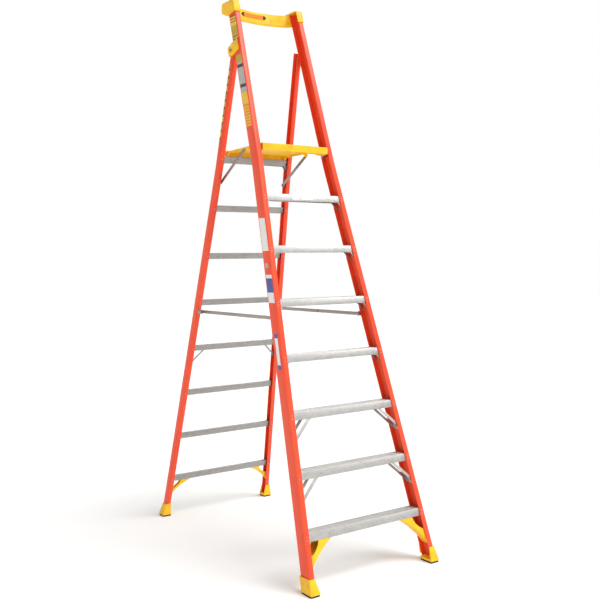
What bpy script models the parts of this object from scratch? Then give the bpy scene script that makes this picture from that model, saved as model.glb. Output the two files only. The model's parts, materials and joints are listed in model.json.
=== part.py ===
"""A folding step ladder with a standing platform, built from its separate pieces.

The ladder stands on the XY plane with +Z up. Its steps face -Y and its width runs along X. The origin is on
the floor, midway between the toes of the front boots and the heels of the rear ones.

Pieces of the front frame are drawn in that frame's own axes: x across, y rearwards from the rails' front
faces and z up along the rails. Pieces of the rear frame are drawn from its hinge in the same way. Boots and
the guard rail, which are level, are drawn in the world's axes from the same widths and leans.
"""

import math

import bmesh
import bpy
from mathutils import Matrix, Vector

# Fits: the gap between touching pieces, and the clearances beside what turns.
GAP = 0.0003
TURN_GAP = 0.001
SWEEP_GAP = 0.002
HOLE_GAP = 0.0004
OVERLAP = 0.0005
CUT_PAST = 0.02

# Front rails: channels with the web outside, bent inwards just under the platform.
FRONT_LEAN = math.radians(16.674)
FRONT_DEPTH = 0.075
FRONT_FLANGE = 0.031
FRONT_WALL = 0.0045
FRONT_FOOT_HALF = 0.4222
FRONT_BEND_HALF = 0.2659
FRONT_TOP_HALF = 0.2377
BEND_BELOW_DECK_PIVOT = 0.084
RAIL_CORNER = 0.0035
CORNER_STEPS = 3

# Rear rails: narrower channels, hinged on the front rails.
REAR_LEAN = math.radians(14.404)
REAR_DEPTH = 0.045
REAR_FLANGE = 0.029
REAR_WALL = 0.004
REAR_FOOT_HALF = 0.4035
REAR_BEND_INSIDE = 0.0044
REAR_TOP_INSIDE = 0.0123
REAR_BEND_BELOW_DECK = 0.0933
REAR_PAST_HINGE = 0.040
CLOSED_GAP = 0.0067

# Steps of the front frame. The platform is the level above the last step.
STEP_COUNT = 7
STEP_PITCH = 0.3048
FIRST_STEP_HEIGHT = 0.2864
STEP_FACE = 0.040
STEP_WALL = 0.002
TREAD_THICKNESS = 0.0025

# Rungs of the rear frame. The last one carries the platform.
RUNG_COUNT = 8
FIRST_RUNG_HEIGHT = 0.2721
RUNG_FACE = 0.0367
RUNG_WALL = 0.002

# Platform, its pivot in the front rails, and its nose.
DECK_ABOVE_PIVOT = 0.020
DECK_PIVOT_DEPTH = 0.035
DECK_INSIDE_FRONT_FLANGE = 0.0075
DECK_INSIDE_REAR_FLANGE = 0.0207
DECK_THICKNESS = 0.003
DECK_WALL = 0.003
DECK_NOSE_WALL = 0.005
DECK_NOSE_AHEAD = 0.046
DECK_NOSE_HEIGHT = 0.040
DECK_NOSE_LENGTH = 0.080
DECK_EDGE_HEIGHT = 0.014
DECK_REST_HEIGHT = 0.028
DECK_REST_LENGTH = 0.032
DECK_REST_INSET = 0.009
DECK_LIP_HEIGHT = 0.010
DECK_LIP_THICKNESS = 0.007
DECK_ROUND = 0.005
HINGE_BLOCK_HEIGHT = 0.045
DECK_PIN_RADIUS = 0.006
DECK_PIN_REACH = 0.010

# Frame hinge near the top, its brackets and bolts.
HINGE_ABOVE_DECK_PIVOT = 0.6362
BRACKET_THICKNESS = 0.004
BRACKET_FRONT = 0.020
BRACKET_RADIUS = 0.031
BRACKET_HALF_HEIGHT = 0.035
BRACKET_CORNER = 0.014
BOLT_RADIUS = 0.005
BOLT_HEAD_RADIUS = 0.010
BOLT_HEAD_HEIGHT = 0.005
BOLT_NUT_HEIGHT = 0.006
ROUND_STEPS = 24

# Guard rail on top of the front rails.
RAIL_PAST_HINGE = 0.2670
CAP_WALL = 0.0045
CAP_TOP_THICKNESS = 0.009
CAP_FRONT_DROP = 0.072
CAP_MID_DROP = 0.086
CAP_REAR_DROP = 0.056
CAP_REAR_REACH = 0.055
GUARD_BAR_THICKNESS = 0.007
GUARD_BAR_DROP = 0.012
GUARD_BAR_HEIGHT = 0.071
GUARD_BAR_BOW = 0.044
GUARD_BAR_BEHIND = 0.006
GUARD_LIP_HEIGHT = 0.016
GUARD_LIP_DEPTH = 0.006
BOW_STEPS = 16

# Platform links, flat bars from the rear rails to the platform's sides.
LINK_WIDTH = 0.020
LINK_THICKNESS = 0.003
LINK_BESIDE_DECK = 0.0048
LINK_ON_DECK = 0.169
LINK_BELOW_HINGE = 0.7743
LINK_PIN_RADIUS = 0.004
LINK_PIN_HEAD_RADIUS = 0.008
LINK_PIN_HEAD_HEIGHT = 0.003
LINK_EAR_HALF = 0.010
ARCH_EASE = 1.5

# Spreaders, flat bars that fold downwards between the frames.
SPREADER_WIDTH = 0.020
SPREADER_THICKNESS = 0.003
SPREADER_INSIDE_FRONT_FLANGE = 0.0126
SPREADER_INSIDE_REAR_FLANGE = 0.0064
SPREADER_FRONT_AT = 1.4358
SPREADER_BEHIND_FLANGE = 0.0062
SPREADER_REAR_AT = 1.5860
SPREADER_AHEAD_OF_RAIL = 0.0005
SPREADER_BRACKET_THICKNESS = 0.003
SPREADER_BRACKET_HEIGHT = 0.026
SPREADER_BRACKET_FOOT = 0.022
BAR_END_STEPS = 8

# Boots and their rubber pads.
PAD_THICKNESS = 0.0087
PAD_INSET = 0.002
BOOT_WALL = 0.0040
BOOT_SOLE_TOP = 0.0165
BOOT_FLOOR = 0.0215
FRONT_BOOT_TOP = 0.082
REAR_BOOT_TOP = 0.084
FRONT_SOLE_IN = 0.0492
FRONT_SOLE_OUT = 0.0068
FRONT_TOE = 0.008
FRONT_HEEL = 0.004
REAR_SOLE_IN = 0.0419
REAR_SOLE_OUT = 0.0162
REAR_TOE = 0.014
REAR_HEEL = 0.003

# Braces at the ends of steps and rungs.
BRACE_TUCK = 0.018
KNEE_WALL = 0.003
KNEE_RIM = 0.0045
FRONT_KNEE_REACH = 0.168
FRONT_KNEE_DROP = 0.162
REAR_KNEE_REACH = 0.155
REAR_KNEE_DROP = 0.118
KNEE_OPENING_REACH = 0.085
KNEE_OPENING_SHARE = 0.48
KNEE_SAG = 0.010
KNEE_STEPS = 8
STRAP_THICKNESS = 0.002
STRAP_WIDTH = 0.024
STRAP_REACH = 0.148
STRAP_DROP = 0.136
STRAP_PLATE = 0.045
STRAPPED_STEPS = (2, 3)
RUNG_STRAP_WIDTH = 0.015
RUNG_STRAP_REACH = 0.118
RUNG_STRAP_DROP = 0.105
STRAPPED_RUNG = 4

SIDES = {"left": -1, "right": 1}

# Worked out from the sizes above, in the front frame's axes.
front_slope = math.tan(FRONT_LEAN)
rear_slope = math.tan(REAR_LEAN)
step_rise = STEP_PITCH * math.cos(FRONT_LEAN)
deck_height = FIRST_STEP_HEIGHT + STEP_COUNT * step_rise
deck_pivot_height = deck_height - DECK_ABOVE_PIVOT
deck_pivot_at = (deck_pivot_height + DECK_PIVOT_DEPTH * math.sin(FRONT_LEAN)) / math.cos(FRONT_LEAN)
hinge_at = deck_pivot_at + HINGE_ABOVE_DECK_PIVOT
hinge_depth = FRONT_DEPTH + CLOSED_GAP + REAR_DEPTH / 2
front_top_at = hinge_at + RAIL_PAST_HINGE
cap_inner = FRONT_TOP_HALF - FRONT_FLANGE - CAP_WALL
front_stations = (
    (0.0, FRONT_FOOT_HALF),
    (deck_pivot_at - BEND_BELOW_DECK_PIVOT, FRONT_BEND_HALF),
    (front_top_at, FRONT_TOP_HALF),
)


def half_width(stations, along):
    """Half of a frame's outer width at a place along its rails."""
    foot, bend, top = stations
    (start, start_half), (end, end_half) = (foot, bend) if along <= bend[0] else (bend, top)
    return start_half + (end_half - start_half) * (along - start) / (end - start)


def front_half(along):
    return half_width(front_stations, along)


def front_to_level(depth, along):
    """Rearward distance and height of a point of the front frame, from the rails' front at the floor."""
    rearward = along * math.sin(FRONT_LEAN) + depth * math.cos(FRONT_LEAN)
    height = along * math.cos(FRONT_LEAN) - depth * math.sin(FRONT_LEAN)
    return rearward, height


hinge_rearward, hinge_height = front_to_level(hinge_depth, hinge_at)
rear_bend_height = deck_height - REAR_BEND_BELOW_DECK
rear_top_half = front_half(hinge_at) - REAR_TOP_INSIDE
rear_stations = (
    (-hinge_height / math.cos(REAR_LEAN), REAR_FOOT_HALF),
    ((rear_bend_height - hinge_height) / math.cos(REAR_LEAN), FRONT_BEND_HALF - REAR_BEND_INSIDE),
    (REAR_PAST_HINGE, rear_top_half),
)
rear_half_thickness = REAR_DEPTH / 2 / math.cos(REAR_LEAN)
front_thickness = FRONT_DEPTH / math.cos(FRONT_LEAN)
rear_foot_rearward = hinge_rearward + hinge_height * rear_slope
base_back = rear_foot_rearward + rear_half_thickness + REAR_HEEL
front_foot_y = -(base_back - FRONT_TOE) / 2

front_axes = Matrix.Translation((0, front_foot_y, 0)) @ Matrix.Rotation(-FRONT_LEAN, 4, "X")
rear_axes = front_axes @ Matrix.Translation((0, hinge_depth, hinge_at)) @ Matrix.Rotation(
    FRONT_LEAN + REAR_LEAN, 4, "X"
)
deck_axes = Matrix.Translation((0, *front_to_level(DECK_PIVOT_DEPTH, deck_pivot_at)))
deck_axes.translation.y += front_foot_y

spreader_front_depth = FRONT_DEPTH + SPREADER_BEHIND_FLANGE
spreader_rear_depth = -REAR_DEPTH / 2 - SPREADER_AHEAD_OF_RAIL
rung_front = spreader_rear_depth + SPREADER_WIDTH / 2 + SWEEP_GAP
rung_back = REAR_DEPTH / 2 - REAR_WALL - GAP
step_front = FRONT_WALL + GAP
step_back = FRONT_DEPTH - FRONT_WALL - GAP


def rear_half(along):
    return half_width(rear_stations, along)


def front_inside(along):
    """How far a piece between the front webs may reach from the middle."""
    return front_half(along) - FRONT_WALL - GAP


def rear_inside(along):
    return rear_half(along) - REAR_WALL - GAP


def front_half_at_height(height):
    return front_half(height / math.cos(FRONT_LEAN))


def rear_half_at_height(height):
    """Half of the rear frame's width where a level section of its rails is widest, at their rear faces."""
    return rear_half((height - hinge_height - REAR_DEPTH / 2 * math.sin(REAR_LEAN)) / math.cos(REAR_LEAN))


def front_rail_y(height):
    return front_foot_y + height * front_slope


def rear_rail_y(height):
    return front_foot_y + hinge_rearward + (hinge_height - height) * rear_slope - rear_half_thickness


def arc(centre, radius, start, end, steps):
    """Points along an arc, with its angles in degrees."""
    angles = [math.radians(start + (end - start) * step / steps) for step in range(steps + 1)]
    return [(centre[0] + radius * math.cos(angle), centre[1] + radius * math.sin(angle)) for angle in angles]


def material(name, colour, roughness, metallic):
    finish = bpy.data.materials.new(name)
    finish.use_nodes = True
    shader = finish.node_tree.nodes["Principled BSDF"]
    shader.inputs["Base Color"].default_value = (*colour, 1)
    shader.inputs["Roughness"].default_value = roughness
    shader.inputs["Metallic"].default_value = metallic
    finish.diffuse_color = (*colour, 1)
    return finish


def empty_at(name, matrix, parts):
    frame = bpy.data.objects.new(name, None)
    frame.empty_display_size = 0.05
    frame.matrix_world = matrix
    parts.objects.link(frame)
    return frame


def prism(outline, *places):
    """A closed solid whose ends, and any sections between, are the outline as each place sets it."""
    shape = bmesh.new()
    corner = shape.verts.layers.int.new("corner")
    points = [shape.verts.new(places[0](*point)) for point in outline]
    for index, point in enumerate(points):
        point[corner] = index
    end = shape.faces.new(points)
    for number, place in enumerate(places[1:]):
        grown = bmesh.ops.extrude_face_region(shape, geom=[end])["geom"]
        if number > 0:
            bmesh.ops.delete(shape, geom=[end], context="FACES_ONLY")
        end = next(item for item in grown if isinstance(item, bmesh.types.BMFace))
        for point in end.verts:
            point.co = place(*outline[point[corner]])
    bmesh.ops.recalc_face_normals(shape, faces=shape.faces)
    return shape


def at_x(reach):
    """Sets an outline drawn on y and z at x."""
    return lambda y, z: (reach, y, z)


def at_z(along):
    """Sets an outline drawn on x and y at z."""
    return lambda x, y: (x, y, along)


def cylinder_x(radius, start, end, y, z):
    """A cylinder along x, to cut a hole or join as a pin."""
    shape = bmesh.new()
    turn = Matrix.Rotation(math.radians(90), 4, "Y")
    place = Matrix.Translation(((start + end) / 2, y, z)) @ turn
    bmesh.ops.create_cone(
        shape,
        cap_ends=True,
        segments=ROUND_STEPS,
        radius1=radius,
        radius2=radius,
        depth=abs(end - start),
        matrix=place,
    )
    return shape


class Workshop:
    """Adds pieces and cutters to the scene, each under the empty of the body that it belongs to."""

    def __init__(self):
        for old in list(bpy.data.objects):
            bpy.data.objects.remove(old, do_unlink=True)
        self.parts = bpy.data.collections.new("step_ladder")
        self.cutters = bpy.data.collections.new("cutters")
        self.cutters.hide_render = True
        bpy.context.scene.collection.children.link(self.parts)
        bpy.context.scene.collection.children.link(self.cutters)

    def add(self, name, shape, frame, finish, level=False):
        """Makes a piece. A level shape is drawn in the world's axes, and is turned into its frame's."""
        if level:
            shape.transform(frame.matrix_world.inverted())
        mesh = bpy.data.meshes.new(name)
        shape.to_mesh(mesh)
        shape.free()
        piece = bpy.data.objects.new(name, mesh)
        piece.parent = frame
        piece.data.materials.append(finish)
        self.parts.objects.link(piece)
        return piece

    def change(self, piece, shape, operation, level=False):
        """Cuts a shape from a piece, or joins it on, by a Boolean."""
        if level:
            shape.transform(piece.parent.matrix_world.inverted())
        name = f"{piece.name}_{operation.lower()}_{len(piece.modifiers)}"
        mesh = bpy.data.meshes.new(name)
        shape.to_mesh(mesh)
        shape.free()
        tool = bpy.data.objects.new(name, mesh)
        tool.parent = piece.parent
        tool.hide_render = True
        tool.display_type = "WIRE"
        self.cutters.objects.link(tool)
        boolean = piece.modifiers.new(name, "BOOLEAN")
        boolean.operation = operation
        boolean.solver = "EXACT"
        boolean.object = tool

    def cut(self, piece, shape, level=False):
        self.change(piece, shape, "DIFFERENCE", level)

    def join(self, piece, shape, level=False):
        self.change(piece, shape, "UNION", level)

    def turned(self, name, profile, frame, place, side, finish):
        """A turned piece along x: the profile's points are (radius, distance from the middle)."""
        mesh = bpy.data.meshes.new(name)
        points = [(radius, 0, reach) for radius, reach in profile]
        mesh.from_pydata(points, [(index, index + 1) for index in range(len(points) - 1)], [])
        piece = bpy.data.objects.new(name, mesh)
        piece.parent = frame
        piece.location = (0, *place)
        piece.rotation_euler = (0, side * math.radians(90), 0)
        piece.data.materials.append(finish)
        self.parts.objects.link(piece)
        screw = piece.modifiers.new("turn", "SCREW")
        screw.steps = ROUND_STEPS
        screw.render_steps = ROUND_STEPS
        screw.use_merge_vertices = True
        screw.merge_threshold = 0.00001
        return piece


def channel_outline(flange, depth, wall):
    """A channel's section, with x inwards from the web's outer face and y from its front face."""
    back = depth - RAIL_CORNER
    return [
        *arc((RAIL_CORNER, RAIL_CORNER), RAIL_CORNER, 270, 180, CORNER_STEPS),
        *arc((RAIL_CORNER, back), RAIL_CORNER, 180, 90, CORNER_STEPS),
        (flange, depth),
        (flange, depth - wall),
        (wall, depth - wall),
        (wall, wall),
        (flange, wall),
        (flange, 0.0),
    ]


def rail(shop, name, side, frame, finish, outline, half, offset, ends):
    """A bent channel through (along, slope) ends, where slope is how a level end rises with depth."""

    def section(along, slope):
        def place(inwards, depth):
            height = along + (depth + offset) * slope
            return side * (half(height) - inwards), depth + offset, height

        return place

    shape = prism(outline, *[section(along, slope) for along, slope in ends])
    return shop.add(name, shape, frame, finish)


def front_rails(shop, frame, finish):
    outline = channel_outline(FRONT_FLANGE, FRONT_DEPTH, FRONT_WALL)
    foot = (BOOT_FLOOR + TURN_GAP) / math.cos(FRONT_LEAN)
    ends = ((foot, front_slope), (front_stations[1][0], 0.0), (front_top_at, front_slope))
    for label, side in SIDES.items():
        rail(shop, f"front_rail_{label}", side, frame, finish, outline, front_half, 0.0, ends)


def rear_rails(shop, frame, finish):
    outline = channel_outline(REAR_FLANGE, REAR_DEPTH, REAR_WALL)
    foot = (BOOT_FLOOR + TURN_GAP - hinge_height) / math.cos(REAR_LEAN)
    ends = ((foot, -rear_slope), (rear_stations[1][0], 0.0), (REAR_PAST_HINGE, 0.0))
    for label, side in SIDES.items():
        made = rail(
            shop, f"rear_rail_{label}", side, frame, finish, outline, rear_half, -REAR_DEPTH / 2, ends
        )
        corner = [
            (-CUT_PAST, hinge_at - CUT_PAST),
            (FRONT_DEPTH + SWEEP_GAP, hinge_at - CUT_PAST),
            (FRONT_DEPTH + SWEEP_GAP, hinge_at + REAR_PAST_HINGE + 2 * CUT_PAST),
            (-CUT_PAST, hinge_at + REAR_PAST_HINGE + 2 * CUT_PAST),
        ]
        inner = side * (rear_top_half - 2 * REAR_FLANGE)
        outer = side * (FRONT_TOP_HALF + CUT_PAST)
        trim = prism(corner, at_x(inner), at_x(outer))
        trim.transform(front_axes)
        shop.cut(made, trim, level=True)
        reach = rear_half(0)
        hole = cylinder_x(BOLT_RADIUS + HOLE_GAP, side * (reach - CUT_PAST), side * (reach + CUT_PAST), 0, 0)
        shop.cut(made, hole)


def tread_outline(front, back, top, slope, face, wall, thickness):
    """An inverted channel with a level top, which is at height top where y = 0. Slope is the frame's."""

    def above(depth):
        return top + depth * slope

    return [
        (front, above(front) - face),
        (front, above(front)),
        (back, above(back)),
        (back, above(back) - face),
        (back - wall, above(back) - face),
        (back - wall, above(back - wall) - thickness),
        (front + wall, above(front + wall) - thickness),
        (front + wall, above(front) - face),
    ]


def steps(shop, frame, finish):
    for number in range(1, STEP_COUNT + 1):
        top = FIRST_STEP_HEIGHT / math.cos(FRONT_LEAN) + (number - 1) * STEP_PITCH
        outline = tread_outline(
            step_front, step_back, top, front_slope, STEP_FACE, STEP_WALL, TREAD_THICKNESS
        )
        shape = prism(
            outline,
            lambda y, z: (-front_inside(z), y, z),
            lambda y, z: (front_inside(z), y, z),
        )
        shop.add(f"step_{number}", shape, frame, finish)


def rung_top(number):
    """Where a rung's level top meets the rear frame's middle plane, along the rails from the hinge."""
    last_height = deck_height - DECK_REST_HEIGHT - GAP
    rise = (last_height - FIRST_RUNG_HEIGHT) / (RUNG_COUNT - 1)
    height = FIRST_RUNG_HEIGHT + (number - 1) * rise
    return (height - hinge_height) / math.cos(REAR_LEAN)


def rungs(shop, frame, finish):
    for number in range(1, RUNG_COUNT + 1):
        outline = tread_outline(
            rung_front, rung_back, rung_top(number), -rear_slope, RUNG_FACE, RUNG_WALL, RUNG_WALL
        )
        shape = prism(
            outline,
            lambda y, z: (-rear_inside(z), y, z),
            lambda y, z: (rear_inside(z), y, z),
        )
        shop.add(f"rear_rung_{number}", shape, frame, finish)


def knee_outline(reach, drop):
    """A knee brace seen from the front: inwards from the web, and up from the lower edge of its step."""
    outer = []
    for step in range(KNEE_STEPS + 1):
        share = step / KNEE_STEPS
        sag = KNEE_SAG * 4 * share * (1 - share)
        outer.append((reach - (reach - KNEE_WALL * 2) * share - sag, -drop * share + sag))
    opening_drop = drop * KNEE_OPENING_SHARE
    opening = arc((0.0, BRACE_TUCK), 1.0, 270, 360, KNEE_STEPS)
    scale_down = opening_drop + BRACE_TUCK
    opening = [
        (inwards * KNEE_OPENING_REACH, BRACE_TUCK + (up - BRACE_TUCK) * scale_down) for inwards, up in opening
    ]
    return [(reach, BRACE_TUCK), *outer, (0.0, -drop), *opening]


def knee_pocket(reach, drop):
    """What hollows a knee brace, leaving its front, its back and the wall along its outer edge."""
    outline = knee_outline(reach, drop)
    outer = outline[1 : KNEE_STEPS + 2]
    inner = [(max(inwards - KNEE_WALL, KNEE_WALL), up + KNEE_RIM) for inwards, up in outer]
    past = BRACE_TUCK + CUT_PAST
    return [(reach - KNEE_WALL, past), *inner, (KNEE_WALL, past)]


def brace_place(side, inside, base, slope, depth):
    """Sets a brace's outline in its frame: base is the lower edge of its step at y = 0."""
    return lambda inwards, up: (
        side * (inside(base + up + depth * slope) - inwards),
        depth,
        base + up + depth * slope,
    )


def knee_brace(shop, name, side, frame, finish, inside, base, slope, depths, reach, drop):
    front, back = depths
    place = [brace_place(side, inside, base, slope, depth) for depth in depths]
    made = shop.add(name, prism(knee_outline(reach, drop), *place), frame, finish)
    pocket_depths = (front + KNEE_WALL, back - KNEE_WALL)
    pocket_place = [brace_place(side, inside, base, slope, depth) for depth in pocket_depths]
    shop.cut(made, prism(knee_pocket(reach, drop), *pocket_place))


def strap_brace(shop, name, side, frame, finish, inside, base, slope, straps, size):
    """Diagonal straps from a step's underside to the web, joined by a plate on the web."""
    reach, drop, width, plate_depths = size
    outline = [(reach, BRACE_TUCK), (0.0, -drop), (0.0, -drop + width), (reach - width, BRACE_TUCK)]
    made = None
    for depths in straps:
        place = [brace_place(side, inside, base, slope, depth) for depth in depths]
        shape = prism(outline, *place)
        if made is None:
            made = shop.add(name, shape, frame, finish)
        else:
            shop.join(made, shape)
    plate = [
        (OVERLAP / 2, -drop + OVERLAP),
        (STRAP_THICKNESS, -drop + OVERLAP),
        (STRAP_THICKNESS, -drop + STRAP_PLATE),
        (OVERLAP / 2, -drop + STRAP_PLATE),
    ]
    place = [brace_place(side, inside, base, slope, depth) for depth in plate_depths]
    shop.join(made, prism(plate, *place))


def braces(shop, front_frame, rear_frame, yellow, metal):
    inside_front = step_front + STEP_WALL + GAP
    inside_back = step_back - STEP_WALL - GAP
    rung_inside_front = rung_front + RUNG_WALL + GAP
    rung_inside_back = rung_back - RUNG_WALL - GAP
    first_step = FIRST_STEP_HEIGHT / math.cos(FRONT_LEAN) - STEP_FACE
    for label, side in SIDES.items():
        knee_brace(
            shop,
            f"knee_brace_front_{label}",
            side,
            front_frame,
            yellow,
            front_inside,
            first_step,
            front_slope,
            (inside_front, inside_back),
            FRONT_KNEE_REACH,
            FRONT_KNEE_DROP,
        )
        knee_brace(
            shop,
            f"knee_brace_rear_{label}",
            side,
            rear_frame,
            yellow,
            rear_inside,
            rung_top(1) - RUNG_FACE,
            -rear_slope,
            (rung_inside_front, rung_inside_back),
            REAR_KNEE_REACH,
            REAR_KNEE_DROP,
        )
        for number in STRAPPED_STEPS:
            strap_brace(
                shop,
                f"step_brace_{number}_{label}",
                side,
                front_frame,
                metal,
                front_inside,
                first_step + (number - 1) * STEP_PITCH,
                front_slope,
                (
                    (inside_front, inside_front + STRAP_THICKNESS),
                    (inside_back - STRAP_THICKNESS, inside_back),
                ),
                (STRAP_REACH, STRAP_DROP, STRAP_WIDTH, (inside_front + OVERLAP, inside_back - OVERLAP)),
            )
        strap_brace(
            shop,
            f"rung_brace_{label}",
            side,
            rear_frame,
            metal,
            rear_inside,
            rung_top(STRAPPED_RUNG) - RUNG_FACE,
            -rear_slope,
            ((rung_inside_front, rung_inside_front + STRAP_THICKNESS),),
            (
                RUNG_STRAP_REACH,
                RUNG_STRAP_DROP,
                RUNG_STRAP_WIDTH,
                (rung_inside_front + OVERLAP, rung_inside_back),
            ),
        )


def square_place(side, x_range, y_range, height):
    """Sets a unit square at a height, between two distances from the middle and two depths."""
    return lambda u, v: (
        side * (x_range[0] + (x_range[1] - x_range[0]) * u),
        y_range[0] + (y_range[1] - y_range[0]) * v,
        height,
    )


def boot(shop, label, side, frame, finish, rubber, half, rail_y, thickness, flange, sole, top):
    """A boot: a sole, sides that narrow from it to the rail, and the hollow that the rail stands in."""
    unit = [(0, 0), (1, 0), (1, 1), (0, 1)]
    sole_x, sole_y = sole
    bottom = PAD_THICKNESS + GAP

    def sleeve(height):
        x_range = (half(height) - flange, half(height) + BOOT_WALL)
        y_range = (rail_y(height) - BOOT_WALL, rail_y(height) + thickness + BOOT_WALL)
        return square_place(side, x_range, y_range, height)

    def hollow(height):
        x_range = (half(height) - flange - CUT_PAST * 2, half(height) + GAP)
        y_range = (rail_y(height) - GAP, rail_y(height) + thickness + GAP)
        return square_place(side, x_range, y_range, height)

    shape = prism(
        unit,
        square_place(side, sole_x, sole_y, bottom),
        square_place(side, sole_x, sole_y, BOOT_SOLE_TOP),
        sleeve(top),
    )
    made = shop.add(f"boot_{label}", shape, frame, finish, level=True)
    shop.cut(made, prism(unit, hollow(BOOT_FLOOR), hollow(top + CUT_PAST)), level=True)
    pad_x = (sole_x[0] + PAD_INSET, sole_x[1] - PAD_INSET)
    pad_y = (sole_y[0] + PAD_INSET, sole_y[1] - PAD_INSET)
    pad = prism(unit, square_place(side, pad_x, pad_y, 0), square_place(side, pad_x, pad_y, PAD_THICKNESS))
    shop.add(f"pad_{label}", pad, frame, rubber, level=True)


def boots(shop, front_frame, rear_frame, finish, rubber):
    front_sole = (
        (FRONT_FOOT_HALF - FRONT_SOLE_IN, FRONT_FOOT_HALF + FRONT_SOLE_OUT),
        (front_foot_y - FRONT_TOE, front_foot_y + front_thickness + FRONT_HEEL),
    )
    rear_back = rear_rail_y(0) + 2 * rear_half_thickness
    rear_sole = (
        (REAR_FOOT_HALF - REAR_SOLE_IN, REAR_FOOT_HALF + REAR_SOLE_OUT),
        (rear_rail_y(0) - REAR_TOE, rear_back + REAR_HEEL),
    )
    for label, side in SIDES.items():
        boot(
            shop,
            f"front_{label}",
            side,
            front_frame,
            finish,
            rubber,
            front_half_at_height,
            front_rail_y,
            front_thickness,
            FRONT_FLANGE,
            front_sole,
            FRONT_BOOT_TOP,
        )
        boot(
            shop,
            f"rear_{label}",
            side,
            rear_frame,
            finish,
            rubber,
            rear_half_at_height,
            rear_rail_y,
            2 * rear_half_thickness,
            REAR_FLANGE,
            rear_sole,
            REAR_BOOT_TOP,
        )


def pivot_brackets(shop, frame, finish, metal):
    """Cheeks outside the front rails, thickened behind them to meet the rear rails, with the hinge bolts."""
    bolt_head = front_half(hinge_at - BRACKET_HALF_HEIGHT) + 2 * GAP
    boss_inner = rear_half(-BRACKET_RADIUS) + TURN_GAP
    corner_depth = hinge_depth + BRACKET_RADIUS - BRACKET_CORNER
    corner_rise = BRACKET_RADIUS - BRACKET_CORNER
    lobe = [
        *arc((corner_depth, hinge_at - corner_rise), BRACKET_CORNER, -90, 0, BAR_END_STEPS),
        *arc((corner_depth, hinge_at + corner_rise), BRACKET_CORNER, 0, 90, BAR_END_STEPS),
    ]
    plate = [
        (BRACKET_FRONT, hinge_at + BRACKET_HALF_HEIGHT),
        (BRACKET_FRONT, hinge_at - BRACKET_HALF_HEIGHT),
        *lobe,
    ]
    boss_front = FRONT_DEPTH + GAP
    boss = [(boss_front, hinge_at + BRACKET_RADIUS), (boss_front, hinge_at - BRACKET_RADIUS), *lobe]
    inset = 1 - OVERLAP / BRACKET_RADIUS
    boss = [
        (boss_front + (depth - boss_front) * inset, hinge_at + (along - hinge_at) * inset)
        for depth, along in boss
    ]
    for label, side in SIDES.items():
        outer = bolt_head + BRACKET_THICKNESS
        shape = prism(plate, at_x(side * bolt_head), at_x(side * outer))
        made = shop.add(f"pivot_bracket_{label}", shape, frame, finish)
        shop.join(made, prism(boss, at_x(side * boss_inner), at_x(side * (outer - OVERLAP))))
        hole = cylinder_x(
            BOLT_RADIUS + HOLE_GAP,
            side * (boss_inner - CUT_PAST),
            side * (outer + CUT_PAST),
            hinge_depth,
            hinge_at,
        )
        shop.cut(made, hole)
        head = outer + GAP
        nut = rear_inside(BOLT_HEAD_RADIUS)
        profile = [
            (0.0, head + BOLT_HEAD_HEIGHT),
            (BOLT_HEAD_RADIUS, head + BOLT_HEAD_HEIGHT),
            (BOLT_HEAD_RADIUS, head),
            (BOLT_RADIUS, head),
            (BOLT_RADIUS, nut),
            (BOLT_HEAD_RADIUS, nut),
            (BOLT_HEAD_RADIUS, nut - BOLT_NUT_HEIGHT),
            (0.0, nut - BOLT_NUT_HEIGHT),
        ]
        shop.turned(f"pivot_bolt_{label}", profile, frame, (hinge_depth, hinge_at), side, metal)


def guard_bar_outline(thickness, ahead):
    """The bowed bar seen from above, from its left end to its right one and back."""
    half = cap_inner + OVERLAP * 8
    rail_top = front_top_at * math.cos(FRONT_LEAN)
    start = front_rail_y(rail_top) + front_thickness + GUARD_BAR_BEHIND
    front = []
    for step in range(BOW_STEPS + 1):
        x = half * (2 * step / BOW_STEPS - 1)
        front.append((x, start + GUARD_BAR_BOW * (1 - (x / half) ** 2)))
    back = [(x, y + thickness) for x, y in reversed(front)]
    return [(x, y - ahead) for x, y in front] + back


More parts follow.
